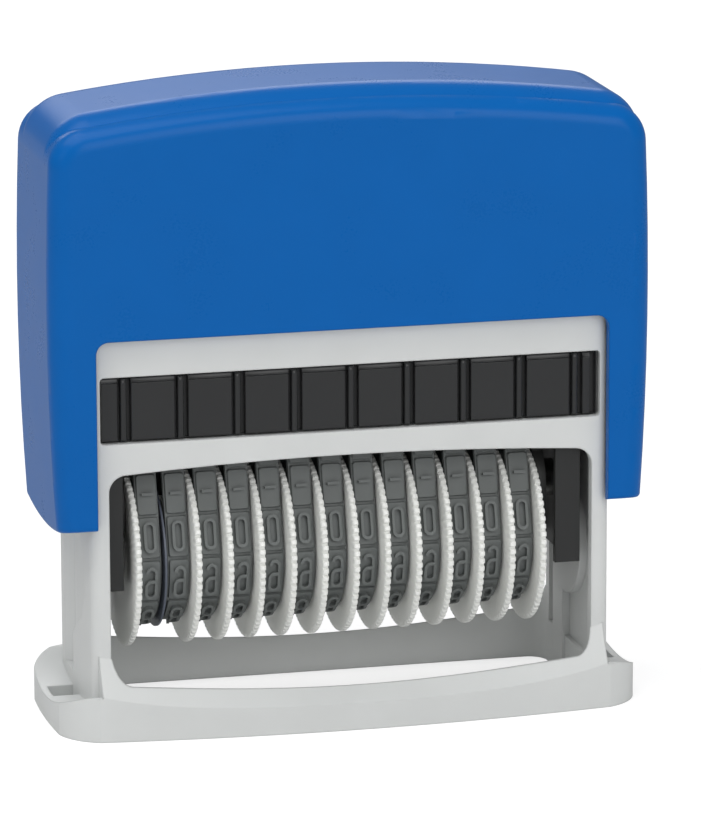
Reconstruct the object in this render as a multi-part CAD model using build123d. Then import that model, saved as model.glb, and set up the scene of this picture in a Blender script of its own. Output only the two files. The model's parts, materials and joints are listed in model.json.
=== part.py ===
"""Self-inking number stamp with thirteen bands.

The cap is pressed down on its springs. The print unit hangs in the cap's carrier on two
pivot pins, and a follower pin beside the left one runs in a curved groove of the frame, so
the unit turns half a turn on the way down: type up against the ink pad at rest, type down
on the paper at the end of the stroke.

Axes: X along the row of bands, Y from front to rear, Z up. The foot stands on Z = 0.
Millimetres throughout.
"""

import os
from math import asin
from math import atan2
from math import cos
from math import degrees
from math import hypot
from math import pi
from math import radians
from math import sin

from build123d import *

os.makedirs("parts", exist_ok=True)

# ---- clearances ----
RUN_FIT = 0.05          # radial, shaft in a turning hole
SLIDE_GAP = 0.30        # sliding faces of cap, frame and drawer
SIDE_PLAY = 0.25        # print unit between the carrier's arms
WHEEL_GAP = 0.20        # side play between wheels and bands
HUB_GAP = 0.30          # band's inner face to the wheel's hub
GROOVE_GAP = 0.20       # radial, follower pin in its groove
PAD_GAP = 0.30          # type to ink pad at rest
FIT_GAP = 0.10          # parts that are pushed together by hand
PAST = 1.0              # how far a cutter runs past the face it cuts

# ---- stroke ----
TRAVEL = 15.9           # cap stroke
PIVOT_Z = 27.0          # unit pivot at rest
TYPE_R = 11.0           # pivot to type face
FOLLOW_R = 4.0          # pivot to follower pin

# ---- number bands and wheels ----
BANDS = 13
PITCH = 4.0
BAND_W = 2.8
BELT_T = 0.9
TYPE_T = 1.1
PLACES = 12
TYPE_LEN = 4.5
FIRST_GAP = 3.59        # band 1 to band 2, across the divider
AXLE_Z = 20.5
AXLE_R = 2.0
HUB_R = 7.0
WHEEL_R = 11.5
WHEEL_T = 0.8
TEETH = 72
TOOTH_DEEP = 0.32
DIVIDER_R = 9.3
DIVIDER_T = 0.25
BAR_TOP_Z = 36.0
BAR_HALF = 3.4
BAR_CORNER = 1.2
BAR_BOTTOM_Z = 32.5
BAR_SCREW_Y = 2.0
BAR_SCREW_Z = 34.2
BAR_SCREW_R = 0.8
BAR_SCREW_LONG = 5.75
SINK_R = 1.4
SINK_DEEP = 0.6
FIN_T = 0.5             # print bar's fins between the bands
FIN_LEN = 8.4
FIN_HIGH = 4.2
FIN_CORNER = 0.8
SECOND_X = 0.4 - PITCH * (BANDS - 2) / 2
FIRST_X = SECOND_X - FIRST_GAP
SIDE_STEP = BAND_W / 2 + WHEEL_GAP + WHEEL_T / 2
band_x = [FIRST_X] + [SECOND_X + PITCH * k for k in range(BANDS - 1)]
wheel_side = [-1] + [1] * (BANDS - 1)
wheel_x = [x + s * SIDE_STEP for x, s in zip(band_x, wheel_side)]

# ---- cheeks, arms and walls, from the row of wheels outwards ----
CHEEK_GAP = 0.15
CHEEK_L_T = 0.70
CHEEK_R_T = 1.30
CHEEK_NECK = 3.6        # radius round the axle
CHEEK_BOSS = 5.6        # radius round the pivot
CHEEK_HEAD = 3.5        # half width at the bar
ARM_T = 1.0
BOX_GAP = 0.70          # arm to the frame's inner housing
GROOVE_DEEP = 0.95
CHEEK_L_IN = wheel_x[0] - WHEEL_T / 2 - CHEEK_GAP
CHEEK_L_OUT = CHEEK_L_IN - CHEEK_L_T
CHEEK_R_IN = wheel_x[-1] + WHEEL_T / 2 + CHEEK_GAP
CHEEK_R_OUT = CHEEK_R_IN + CHEEK_R_T
ARM_IN = max(-CHEEK_L_OUT, CHEEK_R_OUT) + SIDE_PLAY
ARM_OUT = ARM_IN + ARM_T
BOX_X = ARM_OUT + BOX_GAP               # inner housing of the follower groove
INNER_X = BOX_X + 0.35                  # half width of the lower window
WALL_IN = INNER_X + 0.65                # end walls, inner face between the columns
FLOOR_X = BOX_X + GROOVE_DEEP + 0.65    # outside channel, floor
FRAME_X = FLOOR_X + 1.1                 # end walls, outer face

# ---- frame ----
FRAME_Y = 10.6          # outer half depth
FRAME_TOP = 58.0
FRAME_CORNER = 1.4
FACE_T = 1.5            # front and rear faces
LOWER_TOP = 34.1        # lower window, top edge at the middle
LOWER_DROP = 1.1        # and how much lower it is at the sides
LOWER_CORNER = 2.2
PAD_X = INNER_X + 1.0   # drawer window, front
PAD_REAR_X = ARM_IN - 1.2
PAD_LOW = 37.1
PAD_HIGH = 45.5
DECK_LOW = 45.8
DECK_T = 1.5
DECK_X = ARM_IN - 0.4
LOBE_Y = 0.7            # outside channel, round lobe
LOBE_Z = 18.9
LOBE_R = 6.6
LOBE_TOE_Z = 10.2       # the lobe runs out into the straight edge here
CHANNEL_FRONT = 2.1
CHANNEL_REAR = 7.4
CHANNEL_SLOPE = 1.6     # sloped rear side
HOUSE_FRONT = 2.9       # inner housing on the left, front of the middle
HOUSE_WALL = 0.6        # and on the right, round the channel
HOUSE_REAR = FOLLOW_R + FOLLOW_R / 2
SPIGOT_R = 2.4          # spring seats
SPIGOT_HIGH = 4.0

# ---- foot ----
FOOT_X = FRAME_X + 4.2
FOOT_Y_MID = 15.3
FOOT_Y_END = 13.1
FOOT_END_X = FRAME_X - 0.4
FOOT_CORNER_Y = 8.2
FOOT_BOW = 0.3
FOOT_ROUND = 1.8         # how far the corners stay inside the ends' line
FOOT_HIGH = 14.0        # above the blends into the columns
RAIL_EDGE_Z = 2.0       # rails at the middle: outer edge, slope and face
RAIL_SLOPE_Z = 4.4
RAIL_FACE_Z = 5.9
BLEND_EDGE_Z = -1.0     # the same heights well past the ends
BLEND_SLOPE_Z = 5.3
BLEND_FACE_Z = 12.8
BLEND_IN = 0.8          # the blends stop short of the columns' outer face
END_MID_Z = 3.1         # ends, scooped in the middle
END_CORNER_Z = 5.6
RAIL_IN_Y = 12.3
RING_CORNER = 2.4
SLOT_FRONT = 1.7        # slot in each end, against the wall
SLOT_REAR = 2.6
SLOT_DEEP = 1.4
SLOT_X = FOOT_X - 0.9
GUSSET = 2.0            # rib on the right end
GUSSET_T = 1.5
GUSSET_Y = -6.5

# ---- cap ----
CAP_LEG = 4.95          # cap's side, out from the frame's end wall
CAP_X = FRAME_X + CAP_LEG
CAP_Y = FRAME_Y + 1.6
CAP_LOW = 26.7
CAP_DIP = 1.4           # the hem is this much lower at the middle of the legs
CAP_HEM = 0.6
CAP_TOP = 80.15
CAP_STEP = 1.25         # front and rear panels end this much below the dome
CROWN = 3.05            # how much lower the top is at the sides
CAP_BULGE_Z = 52.0
CAP_BULGE_LOW = 1.1     # side bow, at the bottom and at the top
CAP_BULGE_TOP = 0.6
CAP_WALL = 1.3
CAP_SIDE_WALL = 1.6
CAP_ROOF = 2.9
CAP_CORNER = 4.8
DOME_IN = 0.12          # dome on the roof, inside the panels' outline
DOME_Y = CAP_Y - 0.2
DOME_EDGE = 5.6
DOME_CORNER = 5.9
DOME_LOW = 60.0         # it is whole inside the panels from here down
CAP_EDGE = 2.6          # soft edge all round the front and rear
WINDOW_X = CAP_X - 5.6
WINDOW_TOP = 50.3
WINDOW_CORNER = 1.6
RIB_T = 1.2
RIB_Y = FRAME_Y - 2.4
RIB_LOW = CAP_LOW + 2.1
TONGUE_X = FLOOR_X + SLIDE_GAP

# ---- carrier ----
ARM_LOW = 18.1
ARM_HALF = FRAME_Y - FACE_T - 0.4
ARM_ROUND = 1.4
BRIDGE_LOW = CAP_TOP - 10.15
BRIDGE_T = 2.0
BRIDGE_Y = 8.5
FLANGE_T = 0.9          # stiffening flanges on the arms' edges
PIN_R = 1.5
COLLAR_R = 2.4
FOLLOW_PIN_R = 0.9
SCREW_X = 22.5
SCREW_R = 1.2
BOSS_R = 2.9
SPRING_X = 13.0
SPRING_R = 3.6
SPRING_WIRE = 0.35
SPRING_TURNS = 7.0

# ---- drawer ----
TRAY_X = PAD_REAR_X - FIT_GAP
TRAY_LOW = PAD_LOW + 0.2
TRAY_HIGH = PAD_HIGH - 0.3
TRAY_FACE_Y = FRAME_Y - 0.35
TRAY_WALL = 0.9
RIB_PITCH = 7.17
RIB_HALF = 1.15
RIB_GROOVE = 0.5
RIB_GROOVE_DEEP = 0.4


def block(x0, x1, y0, y1, z0, z1):
    """Box between two corners."""
    low = Pos((x0 + x1) / 2, (y0 + y1) / 2, (z0 + z1) / 2)
    return low * Box(x1 - x0, y1 - y0, z1 - z0)


def rod(x0, x1, y, z, r):
    """Round rod along X."""
    return Pos((x0 + x1) / 2, y, z) * Rot(0, 90, 0) * Cylinder(r, x1 - x0)


def across(shape, x0, x1):
    """Extrude a shape drawn in (Y, Z) from x0 to x1."""
    return extrude(Plane.YZ.offset(x0) * shape, x1 - x0)


def through(shape, y0, y1):
    """Extrude a shape drawn in (X, Z) from y0 to y1."""
    return extrude(Plane.XZ.offset(-y0) * shape, -(y1 - y0))


def save(shape, name):
    """Write one node."""
    export_step(Compound(children=list(shape.solids())) if len(shape.solids()) > 1 else shape.solid(),
                "parts/" + name + ".step")


def closed(points):
    """Face inside a polygon."""
    return make_face(Polyline(*points, close=True).edges())


# ---- frame -------------------------------------------------------------------------------
def foot_plan():
    """Foot outline: bowed front, rear and ends, rounded corners."""
    side_x = FOOT_X - FOOT_BOW
    front = ThreePointArc((-FOOT_END_X, -FOOT_Y_END), (0, -FOOT_Y_MID), (FOOT_END_X, -FOOT_Y_END))
    right = ThreePointArc((side_x, -FOOT_CORNER_Y), (FOOT_X, 0), (side_x, FOOT_CORNER_Y))
    rear = ThreePointArc((FOOT_END_X, FOOT_Y_END), (0, FOOT_Y_MID), (-FOOT_END_X, FOOT_Y_END))
    left = ThreePointArc((-side_x, FOOT_CORNER_Y), (-FOOT_X, 0), (-side_x, -FOOT_CORNER_Y))
    bends = []
    for sx, sy in ((1, -1), (1, 1), (-1, 1), (-1, -1)):
        a = (sx * FOOT_END_X, sy * FOOT_Y_END)
        mid = (sx * (FOOT_X - FOOT_ROUND), sy * (FOOT_Y_END - 1.1 * FOOT_ROUND))
        b = (sx * side_x, sy * FOOT_CORNER_Y)
        bends.append(ThreePointArc(a, mid, b))
    return make_face([front, bends[0], right, bends[1], rear, bends[2], left, bends[3]])


def foot_section(x, low, mid, high):
    """Cross-section of the foot: concave slopes, front and rear, drawn in (Y, Z)."""
    far = FOOT_Y_MID + 2.7
    slope = ((far, low), (RAIL_IN_Y + 1.2, mid), (FRAME_Y, high))
    front = [(-y, z) for y, z in slope]
    floor = -FOOT_HIGH
    face = make_face([
        ThreePointArc(*front),
        Line(front[2], slope[2]),
        ThreePointArc(*reversed(slope)),
        Line(slope[0], (far, floor)),
        Line((far, floor), (-far, floor)),
        Line((-far, floor), front[0]),
    ])
    return Plane.YZ.offset(x) * face


def foot():
    """Ring foot: the rails sag between the columns, the ends are scooped."""
    far = FOOT_X + 3.0
    mid = foot_section(0, RAIL_EDGE_Z, RAIL_SLOPE_Z, RAIL_FACE_Z)
    ends = [foot_section(x, BLEND_EDGE_Z, BLEND_SLOPE_Z, BLEND_FACE_Z) for x in (-far, far)]
    body = extrude(foot_plan(), FOOT_HIGH) & loft([ends[0], mid, ends[1]])
    inner_y = FRAME_Y - FACE_T
    body -= block(-FRAME_X, FRAME_X, -inner_y, inner_y, END_CORNER_Z, FOOT_HIGH + PAST)
    scoop = make_face([
        ThreePointArc((-RAIL_IN_Y, END_CORNER_Z), (0, END_MID_Z), (RAIL_IN_Y, END_CORNER_Z)),
        Line((RAIL_IN_Y, END_CORNER_Z), (FOOT_Y_MID + PAST, END_CORNER_Z)),
        Line((FOOT_Y_MID + PAST, END_CORNER_Z), (FOOT_Y_MID + PAST, 2 * FOOT_HIGH)),
        Line((FOOT_Y_MID + PAST, 2 * FOOT_HIGH), (-FOOT_Y_MID - PAST, 2 * FOOT_HIGH)),
        Line((-FOOT_Y_MID - PAST, 2 * FOOT_HIGH), (-FOOT_Y_MID - PAST, END_CORNER_Z)),
        Line((-FOOT_Y_MID - PAST, END_CORNER_Z), (-RAIL_IN_Y, END_CORNER_Z)),
    ])
    end_x = FRAME_X - BLEND_IN
    for x0, x1 in ((-far, -end_x), (end_x, far)):
        body -= across(scoop, x0, x1)
    ring = Pos(0, 0, FOOT_HIGH / 2) * extrude(RectangleRounded(2 * INNER_X, 2 * RAIL_IN_Y, RING_CORNER),
                                              FOOT_HIGH, both=True)
    return body - ring


def follower_path():
    """Points the follower pin passes on its way down, in (Y, Z)."""
    steps = 32
    points = []
    for k in range(steps + 1):
        down = TRAVEL * k / steps
        turn = pi * k / steps
        points.append((FOLLOW_R * sin(turn), PIVOT_Z - down + FOLLOW_R * cos(turn)))
    return points


def bulged(front, rear, r, low, high):
    """Straight band with a round lobe on its front side, drawn in (Y, Z)."""
    straight = Pos((rear - front) / 2, (low + high) / 2) * Rectangle(front + rear, high - low)
    half = Pos(rear - 2 * r, LOBE_Z) * Rectangle(4 * r, 4 * r)
    return straight + (Pos(LOBE_Y, LOBE_Z) * Circle(r) & half)


def face_panel():
    """Front or rear face above the lower window, drawn in (X, Z)."""
    low = LOWER_TOP - 8 * LOWER_DROP
    outline = Pos(0, (low + FRAME_TOP) / 2) * Rectangle(2 * FRAME_X, FRAME_TOP - low)
    side = LOWER_TOP - LOWER_DROP
    arch = make_face([
        ThreePointArc((-INNER_X, side), (0, LOWER_TOP), (INNER_X, side)),
        Line((INNER_X, side), (INNER_X, low - PAST)),
        Line((INNER_X, low - PAST), (-INNER_X, low - PAST)),
        Line((-INNER_X, low - PAST), (-INNER_X, side)),
    ])
    corners = arch.vertices().sort_by(Axis.Y)[-2:]
    return outline - fillet(corners, LOWER_CORNER)


def window(half):
    """Drawer window, drawn in (X, Z)."""
    return Pos(0, (PAD_LOW + PAD_HIGH) / 2) * RectangleRounded(2 * half, PAD_HIGH - PAD_LOW, 0.5)


def base_frame():
    """Foot, end walls, faces and deck in one moulding."""
    inner_y = FRAME_Y - FACE_T
    wall_foot = END_MID_Z - 1.0
    shape = block(-FRAME_X, FRAME_X, -FRAME_Y, FRAME_Y, wall_foot, FRAME_TOP)
    shape = fillet(shape.edges().filter_by(Axis.Z), FRAME_CORNER)
    walls = shape - block(-WALL_IN, WALL_IN, -inner_y, inner_y, END_CORNER_Z, FRAME_TOP + PAST)
    walls -= block(-INNER_X, INNER_X, -FRAME_Y - PAST, FRAME_Y + PAST, 0, FRAME_TOP + PAST)
    panel = face_panel()
    walls += (through(panel, -FRAME_Y, -inner_y) + through(panel, inner_y, FRAME_Y)) & shape
    walls -= through(window(PAD_X), -FRAME_Y - PAST, -inner_y)
    walls -= through(window(PAD_REAR_X), inner_y, FRAME_Y + PAST)
    walls += block(-DECK_X, DECK_X, -inner_y - FACE_T / 2, inner_y + FACE_T / 2, DECK_LOW, DECK_LOW + DECK_T)
    frame = foot() + walls
    channel = bulged(-CHANNEL_FRONT, CHANNEL_REAR, LOBE_R, END_CORNER_Z - 0.4, FRAME_TOP + PAST)
    toe_y = LOBE_Y - 0.6 * LOBE_R
    toe_z = LOBE_Z - 0.8 * LOBE_R + 0.4
    channel += closed([(toe_y, toe_z), (CHANNEL_FRONT, LOBE_TOE_Z), (CHANNEL_FRONT, toe_z)])
    groove_r = FOLLOW_PIN_R + GROOVE_GAP
    path = follower_path()
    groove = trace(Spline(*path), 2 * groove_r)
    groove += Pos(*path[0]) * Circle(groove_r)
    groove += Pos(*path[-1]) * Circle(groove_r)
    gusset = closed([(FRAME_X - PAST, 0), (FRAME_X + GUSSET, 0), (FRAME_X + GUSSET, END_MID_Z),
                     (FRAME_X, END_MID_Z + 1.6 * GUSSET), (FRAME_X - PAST, END_MID_Z + 1.6 * GUSSET)])
    for s in (-1, 1):
        house_front = HOUSE_FRONT if s < 0 else HOUSE_WALL - CHANNEL_FRONT
        housing = bulged(house_front, HOUSE_REAR, LOBE_R + HOUSE_WALL, 0, FRAME_TOP)
        frame += across(housing, *sorted((s * BOX_X, s * (WALL_IN + PAST))))
        slope = closed([(s * FLOOR_X, CHANNEL_REAR), (s * FRAME_X, CHANNEL_REAR),
                        (s * FLOOR_X, CHANNEL_REAR - CHANNEL_SLOPE)])
        cutter = across(channel, *sorted((s * FLOOR_X, s * (FRAME_X + PAST))))
        frame -= cutter - extrude(slope, 2 * FRAME_TOP, both=True)
        slot = sorted((s * FRAME_X, s * SLOT_X))
        frame -= block(*slot, -SLOT_FRONT, SLOT_REAR, END_MID_Z - SLOT_DEEP, FOOT_HIGH)
    frame += through(gusset, GUSSET_Y, GUSSET_Y + GUSSET_T)
    frame -= across(groove, -BOX_X - GROOVE_DEEP, -BOX_X + PAST)
    for x in (-SPRING_X, SPRING_X):
        frame += Pos(x, 0, DECK_LOW + DECK_T + SPIGOT_HIGH / 2) * Cylinder(SPIGOT_R, SPIGOT_HIGH)
    return frame


save(base_frame(), "base_frame")


# ---- cap ---------------------------------------------------------------------------------
def cap_outline(inset, roof, low, corner=CAP_CORNER):
    """Front view of the cap, drawn in (X, Z): crowned top, bowed sides, round corners."""
    low_x = CAP_X - CAP_BULGE_LOW - inset
    mid_x = CAP_X - inset
    top_x = CAP_X - CAP_BULGE_TOP - inset
    crown = CAP_TOP - roof
    side = crown - CROWN
    face = make_face([
        ThreePointArc((-top_x, side), (0, crown), (top_x, side)),
        ThreePointArc((top_x, side), (mid_x, CAP_BULGE_Z), (low_x, low)),
        Line((low_x, low), (-low_x, low)),
        ThreePointArc((-low_x, low), (-mid_x, CAP_BULGE_Z), (-top_x, side)),
    ])
    upper = face.vertices().sort_by(Axis.Y)[-2:]
    return fillet(upper, corner - inset)


def below_hem():
    """Everything below the cap's hem, drawn in (Y, Z): the hem dips towards the middle."""
    far = CAP_Y + PAST
    floor = CAP_LOW - CAP_DIP - 2 * CAP_EDGE
    corners = [(CAP_Y, CAP_LOW), (far, CAP_LOW), (far, floor)]
    corners += [(-y, z) for y, z in reversed(corners)]
    edges = [Line(a, b) for a, b in zip(corners[:-1], corners[1:])]
    return make_face([ThreePointArc(corners[-1], (0, CAP_LOW - CAP_DIP), corners[0])] + edges)


def cap_dome():
    """Rounded crown that stands between the front and rear panels."""
    low = CAP_LOW - CAP_DIP - CAP_EDGE
    dome = through(cap_outline(DOME_IN, 0, low, DOME_CORNER), -DOME_Y, DOME_Y)
    rims = [e for e in dome.edges() if abs(abs(e.center().Y) - DOME_Y) < 0.01]
    dome = fillet([e for e in rims if e.center().Z > CAP_LOW], DOME_EDGE)
    return dome & block(-CAP_X, CAP_X, -CAP_Y, CAP_Y, DOME_LOW, CAP_TOP + PAST)


def cap_shell():
    """Blue shell: domed crown, soft edges, a window in front and rear, legs over the ends."""
    low = CAP_LOW - CAP_DIP - CAP_EDGE
    outer = through(cap_outline(0, CAP_STEP, low), -CAP_Y, CAP_Y)
    outer = fillet([e for e in outer.edges() if abs(abs(e.center().Y) - CAP_Y) < 0.01], CAP_EDGE)
    outer -= across(below_hem(), -CAP_X - PAST, CAP_X + PAST)
    outer = fillet(outer.faces().sort_by(Axis.Z)[0].edges(), CAP_HEM)
    outer += cap_dome()
    inner_y = CAP_Y - CAP_WALL
    inner = through(cap_outline(CAP_SIDE_WALL, CAP_ROOF, CAP_LOW), -inner_y, inner_y)
    inner_edges = [e for e in inner.edges() if abs(abs(e.center().Y) - inner_y) < 0.01]
    inner = fillet([e for e in inner_edges if e.center().Z > CAP_LOW + PAST], CAP_EDGE - CAP_WALL)
    leg_in = CAP_X - CAP_BULGE_LOW - CAP_SIDE_WALL - 0.1
    inner += block(-leg_in, leg_in, -inner_y, inner_y, low, CAP_LOW + 3 * PAST)
    shell = outer - inner
    high = WINDOW_TOP - CAP_LOW + 2 * PAST
    opening = Pos(0, WINDOW_TOP - high / 2) * Rectangle(2 * WINDOW_X, high)
    opening = fillet(opening.vertices().sort_by(Axis.Y)[-2:], WINDOW_CORNER)
    keep = block(-CAP_X, CAP_X, -inner_y + 0.1, inner_y - 0.1, 0, CAP_TOP)
    shell -= through(opening, -2 * CAP_Y, 2 * CAP_Y) - keep
    roof_fill = through(cap_outline(CAP_SIDE_WALL / 2, CAP_ROOF / 2, CAP_LOW), -CAP_Y + 0.6, CAP_Y - 0.6)
    side_in = CAP_X - CAP_SIDE_WALL / 2
    rib_top = CAP_TOP - CROWN - 0.7
    for s in (-1, 1):
        for y in (-RIB_Y, RIB_Y):
            rib_x = sorted((s * (FRAME_X + SLIDE_GAP), s * side_in))
            rib = block(*rib_x, y - RIB_T / 2, y + RIB_T / 2, RIB_LOW, rib_top)
            shell += rib & roof_fill
        tongue_x = sorted((s * TONGUE_X, s * side_in))
        tongue_rear = CHANNEL_REAR - CHANNEL_SLOPE - SLIDE_GAP
        tongue = block(*tongue_x, CHANNEL_FRONT + 0.5, tongue_rear, RIB_LOW, rib_top)
        shell += tongue & roof_fill
        boss_low = BRIDGE_LOW + BRIDGE_T
        boss = Pos(s * SCREW_X, 0, (boss_low + CAP_TOP) / 2) * Cylinder(BOSS_R, CAP_TOP - boss_low)
        shell += boss & roof_fill
        shell -= Pos(s * SCREW_X, 0, boss_low + BRIDGE_T) * Cylinder(SCREW_R, 2 * BRIDGE_T)
    return shell


save(cap_shell(), "cap_shell")


# ---- carrier -----------------------------------------------------------------------------
def arm_shape():
    """Arm in the end wall's plane, with rounded lower corners."""
    top = BRIDGE_LOW + BRIDGE_T
    blank = Pos(0, (ARM_LOW + top) / 2) * Rectangle(2 * ARM_HALF, top - ARM_LOW)
    return fillet(blank.vertices().sort_by(Axis.Y)[:2], ARM_ROUND)


def swing_slot():
    """Clearance in the left arm for the follower pin's half turn round the pivot."""
    play = FOLLOW_PIN_R + GROOVE_GAP
    swing = Pos(0, PIVOT_Z) * (Circle(FOLLOW_R + play) - Circle(FOLLOW_R - play))
    swing &= Pos(2 * FOLLOW_R, PIVOT_Z) * Rectangle(4 * FOLLOW_R, 4 * FOLLOW_R)
    for z in (PIVOT_Z - FOLLOW_R, PIVOT_Z + FOLLOW_R):
        swing += Pos(0, z) * Circle(play)
    return swing


def cap_carrier():
    """Bridge under the cap's roof with an arm at each end."""
    top = BRIDGE_LOW + BRIDGE_T
    body = block(-ARM_OUT, ARM_OUT, -BRIDGE_Y, BRIDGE_Y, BRIDGE_LOW, top)
    for s in (-1, 1):
        arm = sorted((s * ARM_IN, s * ARM_OUT))
        body += across(arm_shape(), *arm)
        flange_y = ARM_HALF - FLANGE_T / 2 + 0.2
        flange = (ARM_IN, ARM_OUT) if s > 0 else (-BOX_X - SIDE_PLAY / 5, -ARM_IN)
        for y in (-flange_y, flange_y):
            body += block(*flange, y - FLANGE_T / 2, y + FLANGE_T / 2, ARM_LOW, top)
            if s > 0:
                lip = (CHEEK_R_OUT + SIDE_PLAY, ARM_IN)
                body += block(*lip, y - FLANGE_T / 2, y + FLANGE_T / 2, ARM_LOW, PAD_LOW - PAST)
        catch = sorted((s * (ARM_IN - FLANGE_T), s * ARM_IN))
        body += block(*catch, -3 * PIN_R, 3 * PIN_R, DECK_LOW - 2 * DECK_T, DECK_LOW - 0.2)
        body -= rod(*sorted((s * (ARM_IN - PAST), s * (ARM_OUT + PAST))), 0, PIVOT_Z, PIN_R + RUN_FIT)
        body -= Pos(s * SCREW_X, 0, BRIDGE_LOW) * Cylinder(SCREW_R + FIT_GAP, 4 * BRIDGE_T)
        body += Pos(s * SPRING_X, 0, BRIDGE_LOW - SPIGOT_HIGH / 4) * Cylinder(SPIGOT_R, SPIGOT_HIGH / 2)
    body -= across(swing_slot(), -ARM_OUT - PAST, -ARM_IN + PAST)
    return body


save(cap_carrier(), "cap_carrier")


def carrier_screws():
    """Two pan-head screws, driven up into the cap's bosses."""
    head_r = SCREW_R + 1.0
    head_t = 1.6
    group = []
    for s in (-1, 1):
        head = Pos(s * SCREW_X, 0, BRIDGE_LOW - head_t / 2) * Cylinder(head_r, head_t)
        head = fillet(head.edges().group_by(Axis.Z)[0], 0.7)
        long = 3 * BRIDGE_T
        shank = Pos(s * SCREW_X, 0, BRIDGE_LOW + long / 2 - 0.1) * Cylinder(SCREW_R, long)
        cross = Box(2 * SCREW_R, 0.5, head_t) + Box(0.5, 2 * SCREW_R, head_t)
        group.append(head + shank - Pos(s * SCREW_X, 0, BRIDGE_LOW - head_t) * cross)
    return Compound(children=group)


save(carrier_screws(), "carrier_screws")


def return_spring(x):
    """Compression spring between the frame's deck and the carrier's bridge."""
    low = DECK_LOW + DECK_T + SPRING_WIRE
    high = BRIDGE_LOW - SPRING_WIRE
    coil = Helix(pitch=(high - low) / SPRING_TURNS, height=high - low, radius=SPRING_R)
    start = Plane(origin=coil @ 0, z_dir=coil % 0)
    body = sweep(start * Circle(SPRING_WIRE), path=coil, is_frenet=True)
    return Pos(x, 0, low) * body


save(return_spring(-SPRING_X), "return_spring_left")
save(return_spring(SPRING_X), "return_spring_right")


# ---- ink drawer --------------------------------------------------------------------------
def ink_tray():
    """Drawer: ribbed face plate, open-bottomed box behind it, rear wall clear of the type."""
    plate_x = PAD_X - SLIDE_GAP
    inner_y = FRAME_Y - FACE_T
    type_top = PIVOT_Z + TYPE_R
    tray = block(-plate_x, plate_x, -TRAY_FACE_Y, -inner_y - 0.1, TRAY_LOW, TRAY_HIGH)
    tray += block(-TRAY_X, TRAY_X, -inner_y - 0.5, TRAY_FACE_Y, TRAY_LOW, TRAY_HIGH)
    hollow_x = TRAY_X - TRAY_WALL
    hollow_y = inner_y - TRAY_WALL
    tray -= block(-hollow_x, hollow_x, -hollow_y, hollow_y, TRAY_LOW - PAST, TRAY_HIGH - TRAY_WALL)
    clear = type_top + PAD_GAP + 0.2
    tray -= block(-TRAY_X - PAST, TRAY_X + PAST, -0.8 * hollow_y, FRAME_Y + PAST, TRAY_LOW - PAST, clear)
    for y, reach in ((-TRAY_FACE_Y, plate_x), (TRAY_FACE_Y, TRAY_X)):
        for k in range(-4, 5):
            x = k * RIB_PITCH
            if abs(x) + RIB_HALF + RIB_GROOVE < reach:
                for at in (x - RIB_HALF, x + RIB_HALF):
                    half = RIB_GROOVE / 2
                    deep = RIB_GROOVE_DEEP
                    tray -= block(at - half, at + half, y - deep, y + deep, TRAY_LOW - PAST, TRAY_HIGH + PAST)
    return tray


def ink_pad():
    """Felt block, face down over the type."""
    x = TRAY_X - TRAY_WALL - FIT_GAP
    y = FRAME_Y - FACE_T - TRAY_WALL - FIT_GAP
    return block(-x, x, -y, y, PIVOT_Z + TYPE_R + PAD_GAP, TRAY_HIGH - TRAY_WALL)


save(ink_tray(), "ink_tray")
save(ink_pad(), "ink_pad")


# ---- print unit --------------------------------------------------------------------------
def cheek(x0, x1, bores):
    """End plate of the print unit, bored at (height, radius)."""
    top = BAR_TOP_Z - 0.2
    plate = Pos(0, AXLE_Z) * Circle(CHEEK_NECK)
    plate += Pos(0, PIVOT_Z) * Circle(CHEEK_BOSS)
    plate += Pos(0, (AXLE_Z + PIVOT_Z) / 2) * Rectangle(2 * CHEEK_NECK, PIVOT_Z - AXLE_Z)
    plate += Pos(0, (PIVOT_Z + top) / 2) * Rectangle(2 * CHEEK_HEAD, top - PIVOT_Z)
    body = across(plate, x0, x1)
    for z, r in bores:
        body -= rod(x0 - PAST, x1 + PAST, 0, z, r)
    return body


def sink(body, outer_x, inward):
    """Countersunk holes for the two bar screws."""
    for y in (-BAR_SCREW_Y, BAR_SCREW_Y):
        hole = Pos(outer_x, y, BAR_SCREW_Z) * Rot(0, 90 * inward, 0)
        body -= hole * Cylinder(BAR_SCREW_R, 4 * CHEEK_R_T)
        body -= hole * Pos(0, 0, SINK_DEEP / 2) * Cone(SINK_R, BAR_SCREW_R, SINK_DEEP)
    return body


shared = [(AXLE_Z, AXLE_R), (PIVOT_Z, PIN_R)]
follower = [(PIVOT_Z + FOLLOW_R, FOLLOW_PIN_R)]
cheek_left = sink(cheek(CHEEK_L_OUT, CHEEK_L_IN, shared + follower), CHEEK_L_OUT, 1)
cheek_right = sink(cheek(CHEEK_R_IN, CHEEK_R_OUT, shared), CHEEK_R_OUT, -1)
save(cheek_left, "cheek_left")
save(cheek_right, "cheek_right")


def bar_screw(outer_x, inward, y):
    """Countersunk screw through a cheek into the print bar."""
    place = Pos(outer_x, y, BAR_SCREW_Z) * Rot(0, 90 * inward, 0)
    body = Pos(0, 0, SINK_DEEP / 2) * Cone(SINK_R, BAR_SCREW_R, SINK_DEEP)
    body += Pos(0, 0, (SINK_DEEP + BAR_SCREW_LONG) / 2) * Cylinder(BAR_SCREW_R, BAR_SCREW_LONG - SINK_DEEP)
    body -= Box(1.4 * SINK_R, SINK_DEEP / 2, SINK_DEEP)
    return place * body


screws = [bar_screw(CHEEK_L_OUT, 1, y) for y in (-BAR_SCREW_Y, BAR_SCREW_Y)]
screws += [bar_screw(CHEEK_R_OUT, -1, y) for y in (-BAR_SCREW_Y, BAR_SCREW_Y)]
save(Compound(children=screws), "bar_screws")


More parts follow.
